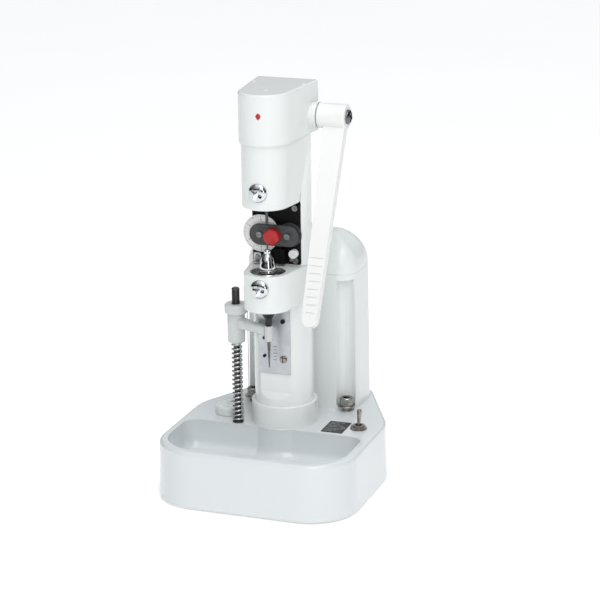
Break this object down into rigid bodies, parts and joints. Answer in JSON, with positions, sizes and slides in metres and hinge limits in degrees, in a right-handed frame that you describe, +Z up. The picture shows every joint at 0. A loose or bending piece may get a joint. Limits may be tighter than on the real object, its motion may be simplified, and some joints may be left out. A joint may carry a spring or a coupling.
{
  "type": "lens drilling machine",
  "caption": "Hand-lever optician's lens drilling machine: tray base, round column, belt-driven spindle with drill above and reamer below, edge gauge, depth stop and motor housing.",
  "frame": {"origin": "middle of the base's footprint at table level", "axes": "+Z up along the column, -Y to the operator's side with the tray, +X to the hand lever's side"},
  "size_m": [0.204, 0.244, 0.4],
  "materials": {
    "white_paint": "gloss enamel",
    "white_plastic": "smooth gloss moulding",
    "lever_white": "satin enamel over aluminium",
    "grey_plastic": "satin moulding",
    "dial_white": "printed dial face",
    "chrome": "polished",
    "steel": "turned and ground",
    "black_oxide": "black oxide",
    "black_paint": "satin black",
    "dark_grey": "satin dark grey",
    "red_plastic": "gloss",
    "silver_plate": "satin anodised",
    "cast_frame": "machined casting",
    "brass": "nickel-worn brass",
    "rubber": "matt",
    "black_plastic": "moulded"
  },
  "bodies": {
    "root": {"base_plate": "steel", "base_plate_screws": "steel", "base_tray": "white_paint", "belt_duct": "white_plastic", "cover_screws": "chrome", "drive_belt": "rubber", "front_cover": "white_plastic", "gauge_bridge": "dark_grey", "head_cap": "white_plastic", "head_frame": "cast_frame", "housing_lid": "white_plastic", "housing_screws": "steel", "idler_pin": "steel", "lens_stop": "black_paint", "lever_bushes": "brass", "motor_body": "black_paint", "motor_housing": "white_plastic", "nose_housing": "white_plastic", "pillar": "white_paint", "pillar_bolts": "black_oxide", "pillar_collar": "white_paint", "power_inlet": "black_plastic", "power_switch": "black_plastic", "quill_bracket": "cast_frame", "quill_bush": "brass", "return_spring": "steel", "rubber_feet": "rubber", "scale_plate": "silver_plate", "scale_screws": "black_oxide", "socket_screws": "black_oxide", "speed_control": "black_plastic", "spindle_bearings": "steel", "spindle_frame": "cast_frame", "stop_post": "steel", "stop_spring": "steel", "switch_nut": "brass", "throat_plate": "black_paint", "throat_screws": "steel"},
    "lever": {"pull_lever": "lever_white", "lever_shaft": "steel", "lever_screw": "chrome", "sector_gear": "steel"},
    "idler": {"idler_gear": "steel"},
    "quill_body": {"quill": "steel", "presser_pin": "steel"},
    "motor_rotor": {"motor_shaft": "steel", "motor_pulley": "silver_plate"},
    "spindle": {"spindle_shaft": "steel", "spindle_pulley": "silver_plate", "drill_chuck": "chrome", "drill_bit": "steel", "reamer_collet": "black_oxide", "reamer": "steel"},
    "dial": {"gauge_dial": "dial_white"},
    "wheel": {"gauge_wheel": "dark_grey"},
    "knob": {"gauge_knob": "red_plastic"},
    "arm": {"stop_arm": "grey_plastic"},
    "nut": {"stop_nut": "grey_plastic"},
    "toggle": {"toggle_lever": "brass"},
    "speed": {"speed_knob": "white_plastic"}
  },
  "joints": [
    {"name": "lever_pull", "type": "hinge", "parent": "root", "child": "lever", "pos_m": [0, 0.008, 0.368], "axis": [-1, 0, 0], "range_deg": [0, 48]},
    {"name": "idler_turn", "type": "hinge", "parent": "root", "child": "idler", "pos_m": [0, -0.023, 0.368], "axis": [1, 0, 0], "range_deg": [0, 66.5]},
    {"name": "quill_slide", "type": "slide", "parent": "root", "child": "quill_body", "axis": [0, 0, -1], "range_m": [0, 0.0151], "stiffness_N_per_m": 200, "springref_m": -0.006, "deforming": ["return_spring"]},
    {"name": "motor_spin", "type": "hinge", "parent": "root", "child": "motor_rotor", "pos_m": [0, 0.078, 0.207], "axis": [0, 0, 1], "continuous": true},
    {"name": "spindle_spin", "type": "hinge", "parent": "root", "child": "spindle", "pos_m": [0, -0.042, 0.207], "axis": [0, 0, 1], "continuous": true},
    {"name": "dial_turn", "type": "hinge", "parent": "root", "child": "dial", "pos_m": [-0.0144, -0.02, 0.2545], "axis": [0, -1, 0], "range_deg": [0, 180]},
    {"name": "wheel_turn", "type": "hinge", "parent": "root", "child": "wheel", "pos_m": [0.0144, -0.02, 0.2545], "axis": [0, -1, 0], "range_deg": [0, 180]},
    {"name": "knob_turn", "type": "hinge", "parent": "root", "child": "knob", "pos_m": [0, -0.025, 0.2545], "axis": [0, -1, 0], "range_deg": [-360, 0]},
    {"name": "arm_slide", "type": "slide", "parent": "root", "child": "arm", "axis": [0, 0, -1], "range_m": [0, 0.015], "deforming": ["stop_spring"]},
    {"name": "nut_turn", "type": "hinge", "parent": "arm", "child": "nut", "pos_m": [-0.041, -0.024, 0.177], "axis": [0, 0, -1], "range_deg": [0, 4320]},
    {"name": "toggle_tilt", "type": "hinge", "parent": "root", "child": "toggle", "pos_m": [0.079, -0.006, 0.06], "axis": [1, 0, 0], "range_deg": [0, 20]},
    {"name": "speed_turn", "type": "hinge", "parent": "root", "child": "speed", "pos_m": [-0.06, 0, 0.063], "axis": [0, 0, -1], "range_deg": [0, 280]}
  ],
  "couplings": [
    {"joint": "idler_turn", "follows": "lever_pull", "ratio": 1.3846},
    {"joint": "quill_slide", "follows": "lever_pull", "m_per_rad": 0.018},
    {"joint": "spindle_spin", "follows": "motor_spin", "ratio": 1.2727},
    {"joint": "wheel_turn", "follows": "dial_turn", "ratio": 1},
    {"joint": "knob_turn", "follows": "dial_turn", "ratio": -2},
    {"joint": "arm_slide", "follows": "nut_turn", "m_per_rad": 0.00019894}
  ]
}
